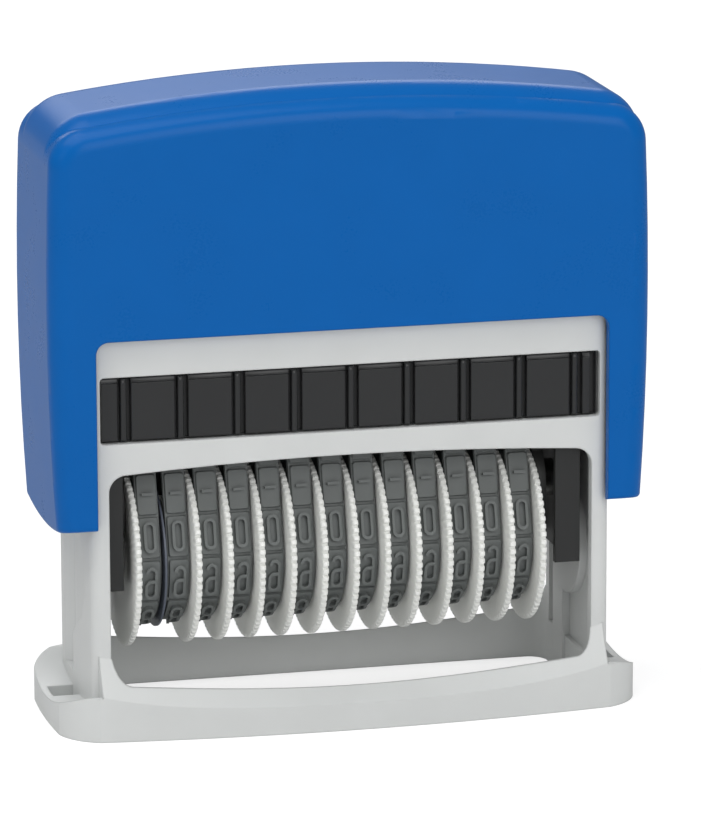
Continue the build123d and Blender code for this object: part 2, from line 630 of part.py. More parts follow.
def print_bar():
    """Bar the bands run over, with a thin fin between neighbours."""
    shape = Pos(0, (BAR_TOP_Z + BAR_BOTTOM_Z) / 2) * Rectangle(2 * BAR_HALF, BAR_TOP_Z - BAR_BOTTOM_Z)
    shape = fillet(shape.vertices().sort_by(Axis.Y)[-2:], BAR_CORNER)
    body = across(shape, CHEEK_L_IN, CHEEK_R_IN)
    gaps = [(a + b) / 2 for a, b in zip(band_x[:-1], band_x[1:])]
    for x in gaps:
        fin_z = BAR_TOP_Z + FIN_CORNER - FIN_HIGH / 2
        fin = Pos(0, fin_z) * RectangleRounded(FIN_LEN, FIN_HIGH, FIN_CORNER)
        body += across(fin, x - FIN_T / 2, x + FIN_T / 2)
    for y in (-BAR_SCREW_Y, BAR_SCREW_Y):
        body -= rod(CHEEK_L_IN - PAST, CHEEK_L_OUT + BAR_SCREW_LONG, y, BAR_SCREW_Z, BAR_SCREW_R)
        body -= rod(CHEEK_R_OUT - BAR_SCREW_LONG, CHEEK_R_IN + PAST, y, BAR_SCREW_Z, BAR_SCREW_R)
    return body


save(print_bar(), "print_bar")
save(rod(CHEEK_L_OUT, CHEEK_R_OUT, 0, AXLE_Z, AXLE_R), "wheel_axle")

divider_mid = (band_x[0] + band_x[1]) / 2
divider = rod(divider_mid - DIVIDER_T / 2, divider_mid + DIVIDER_T / 2, 0, AXLE_Z, DIVIDER_R)
divider -= rod(divider_mid - PAST, divider_mid + PAST, 0, AXLE_Z, AXLE_R)
save(divider, "band_divider")

PIN_END = ARM_OUT + FIT_GAP
save(rod(-PIN_END, CHEEK_L_IN, 0, PIVOT_Z, PIN_R), "pivot_pin_left")
pin_right = rod(CHEEK_R_IN, PIN_END, 0, PIVOT_Z, PIN_R)
pin_right += rod(CHEEK_R_OUT, ARM_IN - SIDE_PLAY, 0, PIVOT_Z, COLLAR_R)
save(pin_right, "pivot_pin_right")
follower_z = PIVOT_Z + FOLLOW_R
FOLLOW_END = BOX_X + GROOVE_DEEP - 0.15
save(rod(-FOLLOW_END, CHEEK_L_IN, 0, follower_z, FOLLOW_PIN_R), "follower_pin")


# ---- number wheels -----------------------------------------------------------------------
def toothed_outline():
    """Wheel rim with small square teeth, drawn about the origin."""
    points = []
    step = 2 * pi / TEETH
    root = WHEEL_R - TOOTH_DEEP
    for k in range(TEETH):
        for part, r in ((-0.30, WHEEL_R), (0.30, WHEEL_R), (0.34, root), (0.66, root)):
            a = (k + part) * step
            points.append((r * cos(a), r * sin(a)))
    return closed(points)


rim = toothed_outline()
for k in range(BANDS):
    x = wheel_x[k]
    s = wheel_side[k]
    disc = across(Pos(0, AXLE_Z) * rim, x - WHEEL_T / 2, x + WHEEL_T / 2)
    hub_far = band_x[k] - s * BAND_W / 2
    disc += rod(min(x, hub_far), max(x, hub_far), 0, AXLE_Z, HUB_R)
    disc -= rod(x - 2 * PITCH, x + 2 * PITCH, 0, AXLE_Z, AXLE_R + RUN_FIT)
    save(disc, "number_wheel_%02d" % (k + 1))


# ---- number bands ------------------------------------------------------------------------
def loop(out):
    """Closed belt line, out millimetres outside the bar and the wheel's band seat, in (Y, Z)."""
    big = HUB_R + HUB_GAP + out
    small = BAR_CORNER + out
    cy = BAR_HALF - BAR_CORNER
    cz = BAR_TOP_Z - BAR_CORNER
    reach = hypot(cy, cz - AXLE_Z)
    lean = asin((big - small) / reach) - atan2(cy, cz - AXLE_Z)
    ny = cos(lean)
    nz = sin(lean)
    half = radians(90) - lean
    bend = (cy + small * sin(half / 2), cz + small * cos(half / 2))
    top = (cy, cz + small)
    upper = (cy + small * ny, cz + small * nz)
    lower = (big * ny, AXLE_Z + big * nz)
    mirror = [(-p[0], p[1]) for p in (top, bend, upper, lower)]
    edges = [
        Line(mirror[0], top),
        ThreePointArc(top, bend, upper),
        Line(upper, lower),
        ThreePointArc(lower, (0, AXLE_Z - big), mirror[3]),
        Line(mirror[3], mirror[2]),
        ThreePointArc(mirror[2], mirror[1], mirror[0]),
    ]
    return edges, (cy, cz, small, big, lean)


def place_at(distance):
    """Point and outward angle on the belt's middle line, distance along it from the top."""
    edges, (cy, cz, small, big, lean) = loop(BELT_T / 2)
    side = 1 if distance >= 0 else -1
    d = abs(distance)
    corner = (pi / 2 - lean) * small
    run = hypot(cy + small * cos(lean) - big * cos(lean), cz + small * sin(lean) - AXLE_Z - big * sin(lean))
    if d <= cy:
        y, z, a = d, cz + small, pi / 2
    elif d <= cy + corner:
        a = pi / 2 - (d - cy) / small
        y, z = cy + small * cos(a), cz + small * sin(a)
    elif d <= cy + corner + run:
        f = (d - cy - corner) / run
        a = lean
        y = (cy + small * cos(a)) * (1 - f) + big * cos(a) * f
        z = (cz + small * sin(a)) * (1 - f) + (AXLE_Z + big * sin(a)) * f
    else:
        a = lean - (d - cy - corner - run) / big
        y, z = big * cos(a), AXLE_Z + big * sin(a)
    if side < 0:
        a = pi - a
    return side * y, z, a


def belt_length():
    """Length of the belt's middle line."""
    edges, values = loop(BELT_T / 2)
    return sum(e.length for e in edges)


def number_band():
    """Rubber loop with its character blocks, drawn in (Y, Z)."""
    outer, values = loop(BELT_T)
    inner, values = loop(0)
    shape = make_face(outer) - make_face(inner)
    step = belt_length() / PLACES
    for k in range(PLACES):
        d = k * step
        if d > belt_length() / 2:
            d -= belt_length()
        y, z, a = place_at(d)
        high = BELT_T / 2 + TYPE_T
        tile = Pos(y, z) * Rot(0, 0, degrees(a)) * Pos(high / 2, 0) * Rectangle(high, TYPE_LEN)
        shape += tile
    return shape - make_face(inner)


band_shape = number_band()
for k in range(BANDS):
    band = across(band_shape, band_x[k] - BAND_W / 2, band_x[k] + BAND_W / 2)
    save(band, "number_band_%02d" % (k + 1))

print("belt length", round(belt_length(), 2), "place pitch", round(belt_length() / PLACES, 2))
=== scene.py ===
# %% [markdown]
# # A self-inking number stamp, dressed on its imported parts
# The stamp stands on a ring foot. A blue cap slides down over a light-grey frame and turns a unit with
# thirteen rubber number bands. Every band has its own toothed thumb wheel.
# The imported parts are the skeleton: they already hold every size, joint and clearance. So this lesson
# keeps those whose shape is right, gives them a finish, and remakes only what shows finer shape than
# the solids hold: wheels, bands, the ribbed drawer, the felt pad and the springs.

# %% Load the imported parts
import json
import math

import bmesh
import bpy
from mathutils import Matrix, Vector


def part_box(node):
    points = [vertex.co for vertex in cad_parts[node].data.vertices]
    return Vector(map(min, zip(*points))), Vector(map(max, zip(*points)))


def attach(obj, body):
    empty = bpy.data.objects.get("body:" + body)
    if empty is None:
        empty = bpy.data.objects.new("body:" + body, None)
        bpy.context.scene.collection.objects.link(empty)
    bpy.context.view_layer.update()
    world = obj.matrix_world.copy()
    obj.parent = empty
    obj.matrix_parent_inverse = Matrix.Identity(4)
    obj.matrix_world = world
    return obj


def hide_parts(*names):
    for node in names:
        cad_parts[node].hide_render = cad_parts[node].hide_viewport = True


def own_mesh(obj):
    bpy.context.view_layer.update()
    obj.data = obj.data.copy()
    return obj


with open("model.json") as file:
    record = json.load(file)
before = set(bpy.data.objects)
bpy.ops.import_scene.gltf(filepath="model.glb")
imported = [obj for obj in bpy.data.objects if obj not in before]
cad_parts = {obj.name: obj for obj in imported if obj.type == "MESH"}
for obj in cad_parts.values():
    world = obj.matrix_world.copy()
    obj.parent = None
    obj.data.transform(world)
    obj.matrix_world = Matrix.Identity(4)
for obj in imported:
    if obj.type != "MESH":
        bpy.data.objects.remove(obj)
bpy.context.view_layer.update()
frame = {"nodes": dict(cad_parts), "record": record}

nodes = frame["nodes"]

# %% [markdown]
# ## Sizes that the finer pieces share
# A piece that stands for a part has to sit where that part sits. Its place is read from the part's box,
# and the few sizes that a box can't tell, such as a hub under its band, are written here once.

# %% Shared sizes
MM = 0.001
AXLE_Z = 20.5 * MM          # wheels turn about this height
BANDS = 13
PLACES = 12                 # characters round one band


def span(node, axis):
    """Lowest and highest value of a part along one axis."""
    low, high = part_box(node)
    return low[axis], high[axis]


def middle(node, axis):
    """Half way between them."""
    return sum(span(node, axis)) / 2


numbers = ["%02d" % (k + 1) for k in range(BANDS)]
print("first band at", round(middle("number_band_01", 0) / MM, 2), "mm")

# %% [markdown]
# ## Camera
# The stamp is seen from a little to the left and a little above, from about three quarters of a metre
# with a long lens, so its upright edges stay nearly parallel. The camera looks along a line through a
# point inside the stamp. Its place is that point plus a distance along the line, which keeps the
# viewing angle and the size in the picture apart and easy to change.

# %% Camera
AIM = Vector((2.37, 0.0, 36.72)) * MM
DISTANCE = 752.0 * MM
AROUND = math.radians(13.58)
ABOVE = math.radians(13.28)
ROLL = math.radians(-0.21)
SENSOR = 36.0
FOCAL_PIXELS = 6000.0       # focal length in pixels of a picture this high
PICTURE_HIGH = 827.0
LENS = SENSOR * FOCAL_PIXELS / PICTURE_HIGH


def aimed(place, direction):
    """The matrix of something at a place whose own Z axis points along a direction."""
    return Matrix.Translation(place) @ direction.to_track_quat("Z", "Y").to_matrix().to_4x4()


level = math.cos(ABOVE)
away = Vector((-math.sin(AROUND) * level, -math.cos(AROUND) * level, math.sin(ABOVE)))
camera_data = bpy.data.cameras.new("camera")
camera_data.lens = LENS
camera_data.sensor_width = SENSOR
camera_data.sensor_fit = "AUTO"
camera_data.clip_start = 0.01
camera_data.clip_end = 20.0
camera = bpy.data.objects.new("camera", camera_data)
camera.matrix_world = aimed(AIM + away * DISTANCE, away) @ Matrix.Rotation(ROLL, 4, "Z")
bpy.context.scene.collection.objects.link(camera)
bpy.context.scene.camera = camera
print("camera", round(DISTANCE / MM), "mm away, lens", round(LENS, 1))

# %% [markdown]
# ## A short way to write node trees
# Node trees get long when every link is a line of its own. Two small classes help. `Wire` wraps one
# socket, so that `1 - mask * 0.3` adds the Math nodes by itself. `Bench` wraps a tree and has one method
# that adds any node: its type, its settings, and the values or wires of its sockets. Both serve shader
# trees and geometry trees, because the two kinds share the same Math nodes.

# %% Wire and Bench
class Wire:
    """One output socket that takes part in Python sums."""

    def __init__(self, bench, socket):
        self.bench = bench
        self.socket = socket

    def maths(self, operation, *terms):
        return self.bench.add("ShaderNodeMath", {"operation": operation}, dict(enumerate(terms)))[0]

    def __add__(self, other):
        return self.maths("ADD", self, other)

    def __radd__(self, other):
        return self.maths("ADD", other, self)

    def __sub__(self, other):
        return self.maths("SUBTRACT", self, other)

    def __rsub__(self, other):
        return self.maths("SUBTRACT", other, self)

    def __mul__(self, other):
        return self.maths("MULTIPLY", self, other)

    def __rmul__(self, other):
        return self.maths("MULTIPLY", other, self)

    def __truediv__(self, other):
        return self.maths("DIVIDE", self, other)

    def __rtruediv__(self, other):
        return self.maths("DIVIDE", other, self)

    def clip(self):
        """Kept between 0 and 1."""
        return self.maths("MINIMUM", self.maths("MAXIMUM", self, 0.0), 1.0)


class Outputs:
    """The output sockets of one node, by name or by number."""

    def __init__(self, bench, node):
        self.bench = bench
        self.node = node

    def __getitem__(self, key):
        return Wire(self.bench, self.node.outputs[key])


class Bench:
    """A node tree and the one method that adds a node to it."""

    def __init__(self, tree):
        self.tree = tree

    def add(self, kind, settings=None, sockets=None):
        node = self.tree.nodes.new(kind)
        for name, value in (settings or {}).items():
            setattr(node, name, value)
        for key, value in (sockets or {}).items():
            if isinstance(value, Wire):
                self.tree.links.new(value.socket, node.inputs[key])
            else:
                node.inputs[key].default_value = value
        return Outputs(self, node)

    def mix(self, factor, first, second):
        """Blend of two colours."""
        return self.add("ShaderNodeMix", {"data_type": "RGBA"}, {0: factor, 6: first, 7: second})[2]

    def vector(self, x=0.0, y=0.0, z=0.0):
        """Three numbers or wires as one vector."""
        return self.add("ShaderNodeCombineXYZ", sockets={0: x, 1: y, 2: z})[0]

    def noise(self, place, size, detail):
        """Noise from 0 to 1 whose lumps are about one size, in metres."""
        values = {"Vector": place, "Scale": 1.0 / size, "Detail": detail}
        return self.add("ShaderNodeTexNoise", sockets=values)["Fac"]


def blank_bench(owner):
    """A bench on the emptied node tree of a material or a world."""
    owner.use_nodes = True
    owner.node_tree.nodes.clear()
    return Bench(owner.node_tree)


def colour(red, green, blue):
    """A screen colour, 0 to 255, as the linear values that a socket takes."""
    parts = [value / 255.0 for value in (red, green, blue)]
    return tuple(v / 12.92 if v <= 0.04045 else ((v + 0.055) / 1.055) ** 2.4 for v in parts) + (1.0,)


print("sample colour", [round(v, 3) for v in colour(30, 94, 164)])

# %% [markdown]
# ## Floor, backdrop and light
# A product like this is shown on a white sweep under big soft lamps. The floor is a pale matt plane.
# What the camera sees of it and of the world is white by colour, not by more light, so the object's own
# pale greys don't burn out. The gloss sees a darker floor and world than the eye does, because a real
# studio is dim outside its lamps. A large lamp above and one in front light the faces, one behind draws
# the sheen along the cap's crown, and a weak one fills the left side.

# %% Floor
def placed(name, data):
    """A new object that is in the scene."""
    piece = bpy.data.objects.new(name, data)
    bpy.context.scene.collection.objects.link(piece)
    return piece


def plain_mesh(name, build):
    """A new object whose mesh is filled by build(bmesh)."""
    mesh = bpy.data.meshes.new(name)
    work = bmesh.new()
    build(work)
    work.to_mesh(mesh)
    work.free()
    return placed(name, mesh)


FLOOR_HALF = 4.0
FLOOR_WHITE = (0.86, 0.86, 0.86, 1.0)
FLOOR_GLOW = 0.50
FLOOR_BRIGHT = 1.32         # of the part that only the camera sees
FLOOR_MIRRORED = 0.42       # how pale the floor is in the gloss of the cap


def floor_plane(work):
    """One square face."""
    bmesh.ops.create_grid(work, x_segments=1, y_segments=1, size=FLOOR_HALF)


def looked_at(bench):
    """Two masks: rays from the camera, also through glass, and rays that a gloss sends out."""
    ray = bench.add("ShaderNodeLightPath")
    return (ray["Is Camera Ray"] + ray["Is Transmission Ray"]).clip(), ray["Is Glossy Ray"]


floor = plain_mesh("floor", floor_plane)
floor_finish = bpy.data.materials.new("pale_floor")
bench = blank_bench(floor_finish)
seen, glossy = looked_at(bench)
pale = bench.mix(glossy, FLOOR_WHITE, (FLOOR_MIRRORED, FLOOR_MIRRORED, FLOOR_MIRRORED, 1.0))
matt = bench.add("ShaderNodeBsdfDiffuse", sockets={"Color": pale})["BSDF"]
white = bench.add("ShaderNodeEmission", sockets={"Strength": FLOOR_BRIGHT})["Emission"]
both = bench.add("ShaderNodeMixShader", sockets={0: seen * FLOOR_GLOW, 1: matt, 2: white})["Shader"]
bench.add("ShaderNodeOutputMaterial", sockets={"Surface": both})
floor.data.materials.append(floor_finish)

# %% World and lamps
WORLD_LIGHT = 0.62
WORLD_MIRRORED = 0.26       # in the gloss of the object

world = bpy.data.worlds.new("studio")
bpy.context.scene.world = world
bench = blank_bench(world)
seen, glossy = looked_at(bench)
strength = WORLD_LIGHT + seen * (1.0 - WORLD_LIGHT) - glossy * (WORLD_LIGHT - WORLD_MIRRORED)
light = bench.add("ShaderNodeBackground", sockets={"Strength": strength})["Background"]
bench.add("ShaderNodeOutputWorld", sockets={"Surface": light})


def lamp(name, place, aim, width, height, watts):
    """A soft rectangular lamp that points at aim."""
    data = bpy.data.lights.new(name, "AREA")
    data.shape = "RECTANGLE"
    data.size = width
    data.size_y = height
    data.energy = watts
    placed(name, data).matrix_world = aimed(place, Vector(place) - Vector(aim))


STAMP_MIDDLE = (0.0, 0.0, 0.04)
CROWN = (0.0, 0.0, 0.07)
lamp("top_lamp", (-0.25, -0.10, 0.85), STAMP_MIDDLE, width=0.9, height=0.7, watts=5.0)
lamp("front_lamp", (0.30, -1.0, 0.50), STAMP_MIDDLE, width=0.7, height=0.7, watts=3.8)
lamp("rear_lamp", (0.05, 1.1, 0.56), CROWN, width=0.9, height=0.35, watts=2.1)
lamp("left_lamp", (-0.8, -0.45, 0.45), STAMP_MIDDLE, width=0.4, height=0.4, watts=0.35)
bpy.context.scene.view_settings.view_transform = "Standard"

# %% [markdown]
# ## Finishes
# Every finish starts from the same idea. A moulded surface is one colour, but no two spots shine quite
# alike: the mould's fine grain breaks the light, wide soft patches carry a little more or less gloss,
# and real edges are never sharp. So one function makes them all: a colour with slight variation, a
# roughness with soft patches, a fine grain as bump, and rounded edges from the Bevel node.
# Patterns use Object coordinates, which every part and piece here shares.

# %% One function for moulded finishes
PATCH_SIZE = 9.0 * MM       # width of the soft patches
PATCH_CONTRAST = 1.6        # how much of the tint they show
GRAIN_DEEP = 0.04 * MM      # bump distance of the mould's grain


def finish(name, tone, rough, grain_size=0.25, patch=0.04, tint=0.03, edge=0.12, bump=0.06, **sockets):
    """A moulded finish. grain_size and edge, the corner radius, are in mm. patch is a share of gloss."""
    material = bpy.data.materials.new(name)
    bench = blank_bench(material)
    place = bench.add("ShaderNodeTexCoord")["Object"]
    fine = bench.noise(place, grain_size * MM, 2.0)
    soft = bench.noise(place, PATCH_SIZE, 3.0) - 0.5
    darker = tuple(v * (1.0 - tint) for v in tone[:3]) + (1.0,)
    lighter = tuple(min(1.0, v * (1.0 + tint)) for v in tone[:3]) + (1.0,)
    shade = bench.mix((soft * PATCH_CONTRAST + 0.5).clip(), darker, lighter)
    gloss = (soft * (2.0 * patch) + (fine - 0.5) * patch + rough).clip()
    rounded = bench.add("ShaderNodeBevel", {"samples": 4}, {"Radius": edge * MM})["Normal"]
    raised = {"Strength": bump, "Distance": GRAIN_DEEP, "Height": fine, "Normal": rounded}
    relief = bench.add("ShaderNodeBump", sockets=raised)["Normal"]
    values = {"Base Color": shade, "Roughness": gloss, "Normal": relief}
    values.update(sockets)
    body = bench.add("ShaderNodeBsdfPrincipled", sockets=values)["BSDF"]
    bench.add("ShaderNodeOutputMaterial", sockets={"Surface": body})
    return material


# %% [markdown]
# ### Which finish goes where
# The cap is a deep satin blue with enough gloss to mirror a lamp softly. The frame is light-grey
# plastic with a fine grain, and light goes a little way into the wheels, which are milky. The drawer
# and the carrier are black, the print unit dark grey. Bands are matt rubber. Steel pins, screws and
# springs are metal.

# %% The finishes
milky = {"Subsurface Weight": 0.30, "Subsurface Radius": (1.2 * MM,) * 3, "Subsurface Scale": 1.0}
finishes = {
    "cap_blue": finish("satin_blue", colour(0, 90, 165), 0.28, grain_size=0.30, patch=0.02, edge=0.35,
                       bump=0.02, **{"Specular IOR Level": 0.14}),
    "frame_grey": finish("light_grey", colour(203, 205, 204), 0.42, edge=0.32),
    "carrier_black": finish("carrier_black", colour(38, 39, 39), 0.45, edge=0.15),
    "drawer_black": finish("drawer_black", colour(40, 41, 42), 0.30, edge=0.10),
    "unit_black": finish("unit_grey", colour(62, 63, 62), 0.50, edge=0.12),
    "wheel_grey": finish("wheel_grey", colour(232, 233, 229), 0.40, edge=0.06, **milky),
    "band_rubber": finish("band_rubber", colour(103, 107, 106), 0.58, grain_size=0.18, tint=0.08,
                          edge=0.06, bump=0.12),
    "divider_grey": finish("divider_grey", colour(84, 90, 102), 0.40, edge=0.05),
    "spring_steel": finish("spring_steel", colour(190, 190, 188), 0.28, edge=0.05, Metallic=1.0),
    "pin_steel": finish("pin_steel", colour(196, 196, 194), 0.25, edge=0.10, Metallic=1.0),
    "screw_steel": finish("screw_steel", colour(186, 187, 190), 0.32, edge=0.10, Metallic=1.0),
}
slots = {part["node"]: part["material_slot"] for part in frame["record"]["subparts"]}


def dress(piece, slot_name):
    """Give a piece or a part the finish of a slot."""
    piece.data.materials.clear()
    piece.data.materials.append(finishes[slot_name])


for node, piece in nodes.items():
    if slots[node] in finishes:
        dress(piece, slots[node])
print("finishes:", len(finishes))

# %% [markdown]
# ## Thumb wheels
# Each band is driven by a thin disc with small teeth that a fingernail catches. The disc has a drum on
# one side that the rubber loop sits on. A turned part like this is a profile swept round an axis:
# `Curve to Mesh` along a circle is a lathe. The teeth are pressed into the rim afterwards, by moving the
# rim's points inwards in a wave whose phase comes from their angle. That keeps one clean closed mesh,
# which a boolean of seventy-two notches would not.

# %% Helpers for geometry trees
socket_kinds = {
    int: "NodeSocketInt",
    float: "NodeSocketFloat",
    bpy.types.Object: "NodeSocketObject",
    bpy.types.Material: "NodeSocketMaterial",
}


def new_tree(name, **inputs):
    """A geometry tree with named inputs, whose kinds come from sample values, and its bench."""
    tree = bpy.data.node_groups.new(name, "GeometryNodeTree")
    tree.interface.new_socket("Geometry", in_out="INPUT", socket_type="NodeSocketGeometry")
    for title, value in inputs.items():
        tree.interface.new_socket(title, in_out="INPUT", socket_type=socket_kinds[type(value)])
    tree.interface.new_socket("Geometry", in_out="OUTPUT", socket_type="NodeSocketGeometry")
    bench = Bench(tree)
    return bench, bench.add("NodeGroupInput")


def close_tree(bench, geometry, material):
    """End of every tree: real geometry with its finish on."""
    real = bench.add("GeometryNodeRealizeInstances", sockets={"Geometry": geometry})["Geometry"]
    dressed = bench.add("GeometryNodeSetMaterial", sockets={"Geometry": real, "Material": material})
    bench.add("NodeGroupOutput", sockets={"Geometry": dressed["Geometry"]})


def grown(name, base, tree, **inputs):
    """Run a tree on a base mesh and return the result as a plain mesh object."""
    source = placed(name + "_source", base)
    modifier = source.modifiers.new("tree", "NODES")
    modifier.node_group = tree
    for socket in tree.interface.items_tree:
        if socket.in_out == "INPUT" and socket.name in inputs:
            modifier[socket.identifier] = inputs[socket.name]
    ready = source.evaluated_get(bpy.context.evaluated_depsgraph_get())
    mesh = bpy.data.meshes.new_from_object(ready)
    mesh.name = name
    source.modifiers.remove(modifier)
    bpy.data.objects.remove(source)
    return placed(name, mesh)


def tidy(piece, gap=0.002 * MM, smooth_below=35.0):
    """Merge doubles, point faces outwards and smooth what isn't an edge."""
    work = bmesh.new()
    work.from_mesh(piece.data)
    bmesh.ops.remove_doubles(work, verts=work.verts, dist=gap)
    bmesh.ops.recalc_face_normals(work, faces=work.faces)
    limit = math.radians(smooth_below)
    for face in work.faces:
        face.smooth = True
    for edge in work.edges:
        edge.smooth = edge.is_manifold and edge.calc_face_angle(0.0) < limit
    work.to_mesh(piece.data)
    work.free()
    return piece


def finished(piece, body, slot_name, *stands_for):
    """Give a piece its finish, fasten it to its body and hide the parts it stands for."""
    dress(piece, slot_name)
    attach(piece, body)
    if stands_for:
        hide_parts(*stands_for)


def triangles(piece):
    return sum(len(face.vertices) - 2 for face in piece.data.polygons)


# %% The wheel's tree: a lathe, then teeth
GAP_LEVEL = -0.15           # the wave is a notch below this height
GAP_SLOPE = 2.6             # how steeply a notch begins

bench, given = new_tree("thumb_wheel", **{
    "Teeth": 1, "Points a tooth": 1, "Rim radius": 0.0, "Tooth depth": 0.0, "Lathe radius": 0.0,
    "Finish": finishes["wheel_grey"]})
profile = bench.add("GeometryNodeMeshToCurve", sockets={"Mesh": given["Geometry"]})["Curve"]
round_path = {"Resolution": given["Teeth"] * given["Points a tooth"], "Radius": given["Lathe radius"]}
circle = bench.add("GeometryNodeCurvePrimitiveCircle", sockets=round_path)["Curve"]
turned = bench.add("GeometryNodeCurveToMesh", sockets={"Curve": circle, "Profile Curve": profile})["Mesh"]
place = bench.add("GeometryNodeInputPosition")["Position"]
parts = bench.add("ShaderNodeSeparateXYZ", sockets={0: place})
flat = bench.vector(parts[0], parts[1])
radius = bench.add("ShaderNodeVectorMath", {"operation": "LENGTH"}, {0: flat})["Value"]
phase = parts[1].maths("ARCTAN2", parts[1], parts[0]) * given["Teeth"]
wave = phase.maths("COSINE", phase)
notch = ((GAP_LEVEL - wave) * GAP_SLOPE).clip()
past_root = radius - given["Rim radius"] + given["Tooth depth"] * 1.8
at_rim = (past_root / (given["Tooth depth"] * 1.2)).clip()
shrink = 1.0 - notch * at_rim * given["Tooth depth"] / radius
moved = bench.vector(parts[0] * shrink, parts[1] * shrink, parts[2])
toothed = bench.add("GeometryNodeSetPosition", sockets={"Geometry": turned, "Position": moved})
close_tree(bench, toothed["Geometry"], given["Finish"])
wheel_tree = bench.tree
print("wheel tree:", len(wheel_tree.nodes), "nodes")

# %% Section of a wheel
TEETH = 72
POINTS_A_TOOTH = 8
TOOTH_DEPTH = 0.42 * MM
DISC_HALF = 0.4 * MM        # half the thickness of the disc
DRUM_R = 7.0 * MM
BORE_R = 2.05 * MM
BOSS_R = 3.6 * MM           # raised ring round the bore
FACE_SUNK = 0.12 * MM       # the face lies this much deeper between boss and rim
RIM_EDGE = 0.13 * MM        # rounding of the rim
DRUM_EDGE = 0.1 * MM


def rim_side(rim, half, way):
    """One side of the rim, from its face outwards. way is -1 for the side away from the drum."""
    face = way * half
    return [(rim - 0.75 * MM, face), (rim - 0.55 * MM, face - way * 0.02 * MM),
            (rim - RIM_EDGE, face - way * 0.4 * RIM_EDGE), (rim, face - way * 1.6 * RIM_EDGE)]


def wheel_profile(half, rim, drum_reach):
    """Section through a wheel: (radius, along the axle), from the bore round the rim to the drum."""
    face = [(BORE_R, -half), (BOSS_R, -half), (BOSS_R + 0.2 * MM, -half + FACE_SUNK),
            (DRUM_R - 0.6 * MM, -half + FACE_SUNK), (DRUM_R - 0.3 * MM, -half)]
    drum = [(DRUM_R + 0.12 * MM, half), (DRUM_R, half + 0.12 * MM), (DRUM_R, drum_reach - DRUM_EDGE),
            (DRUM_R - DRUM_EDGE, drum_reach), (BORE_R, drum_reach)]
    return face + rim_side(rim, half, -1) + rim_side(rim, half, 1)[::-1] + drum


def ring_mesh(name, points):
    """A closed polyline as a mesh of edges."""
    mesh = bpy.data.meshes.new(name)
    count = len(points)
    mesh.from_pydata(points, [(k, (k + 1) % count) for k in range(count)], [])
    return mesh


# %% One wheel for every band
LATHE_R = 1.0 * MM          # radius of the path that the section is swept along
for number in numbers:
    node = "number_wheel_" + number
    low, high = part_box(node)
    rim = (high.z - low.z) / 2
    band_x = middle("number_band_" + number, 0)
    side = -1.0 if abs(low.x - band_x) > abs(high.x - band_x) else 1.0
    outer = low.x if side < 0 else high.x
    disc_x = outer - side * DISC_HALF
    reach = (high.x - low.x) - DISC_HALF
    section = wheel_profile(DISC_HALF, rim, reach)
    base = ring_mesh("wheel_section", [(r - LATHE_R, a, 0.0) for r, a in section])
    wheel = grown("thumb_wheel_" + number, base, wheel_tree, **{
        "Teeth": TEETH, "Points a tooth": POINTS_A_TOOTH, "Rim radius": rim, "Tooth depth": TOOTH_DEPTH,
        "Lathe radius": LATHE_R, "Finish": finishes["wheel_grey"]})
    turn = Matrix(((0.0, 0.0, side), (0.0, 1.0, 0.0), (1.0, 0.0, 0.0))).to_4x4()
    wheel.data.transform(Matrix.Translation((disc_x, 0.0, AXLE_Z)) @ turn)
    tidy(wheel, smooth_below=50.0)
    finished(wheel, "wheel_" + number, "wheel_grey", node)
print("wheels:", len(numbers), "with", triangles(wheel), "triangles each")

# %% [markdown]
# ## Number bands
# A band is a moulded rubber loop: a belt with twelve pads on it, and on every pad one raised
# character, made upside down so that it prints the right way round. The loop runs over the print bar at
# the top and round the wheel's drum below.
# It is easiest to make the band flat, as the mould sees it, and to bend it afterwards: the flat strip's
# length becomes distance along the loop, and its height becomes distance outwards. A character is a
# line with a narrow ridge along it, so the digits are written as a few corner points each, and
# `Fillet Curve` rounds them as a real punch would.

# %% The loop that a band follows
BELT_T = 0.9 * MM
SEAT_R = 7.3 * MM           # inside of the belt round the drum
BAR_TOP = 36.0 * MM
BAR_HALF = 3.4 * MM
BAR_CORNER = 1.2 * MM


def arc_points(y, z, radius, start, end, step):
    """Points in (Y, Z) round a centre, from one angle to a smaller one, about a step apart."""
    arc = start - end
    count = max(2, round(arc * radius / step))
    angles = [start - arc * k / count for k in range(count + 1)]
    return [(y + radius * math.cos(a), z + radius * math.sin(a)) for a in angles]


def belt_line(out, step):
    """Points of the closed loop in (Y, Z), from the top centre down the front and round."""
    big = SEAT_R + out
    small = BAR_CORNER + out
    corner_y = BAR_HALF - BAR_CORNER
    corner_z = BAR_TOP - BAR_CORNER
    rise = corner_z - AXLE_Z
    lean = math.asin((big - small) / math.hypot(corner_y, rise)) - math.atan2(corner_y, rise)
    half = [(0.0, corner_z + small)]
    half += arc_points(corner_y, corner_z, small, math.pi / 2, lean, step)
    half += arc_points(0.0, AXLE_Z, big, lean, -math.pi / 2, step)
    front = [(-y, z) for y, z in half]
    return front + [(-y, z) for y, z in reversed(front[1:-1])]


PATH_STEP = 0.25 * MM
line = belt_line(BELT_T / 2, PATH_STEP)
belt_length = sum(math.dist(a, b) for a, b in zip(line, line[1:] + line[:1]))
place_length = belt_length / PLACES
belt_path = placed("belt_path", ring_mesh("belt_path", [(0.0, y, z) for y, z in line]))
print("belt", round(belt_length / MM, 2), "mm, a place", round(place_length / MM, 3), "mm")

# %% One place of the band, flat: belt and pad
BAND_HALF = 1.4 * MM
PAD_HIGH = 0.34 * MM
PAD_INSET = 0.13 * MM
PAD_ROUND = 0.34 * MM       # corners of its outline
PAD_SLOPE = 0.09 * MM       # width of its slanted sides


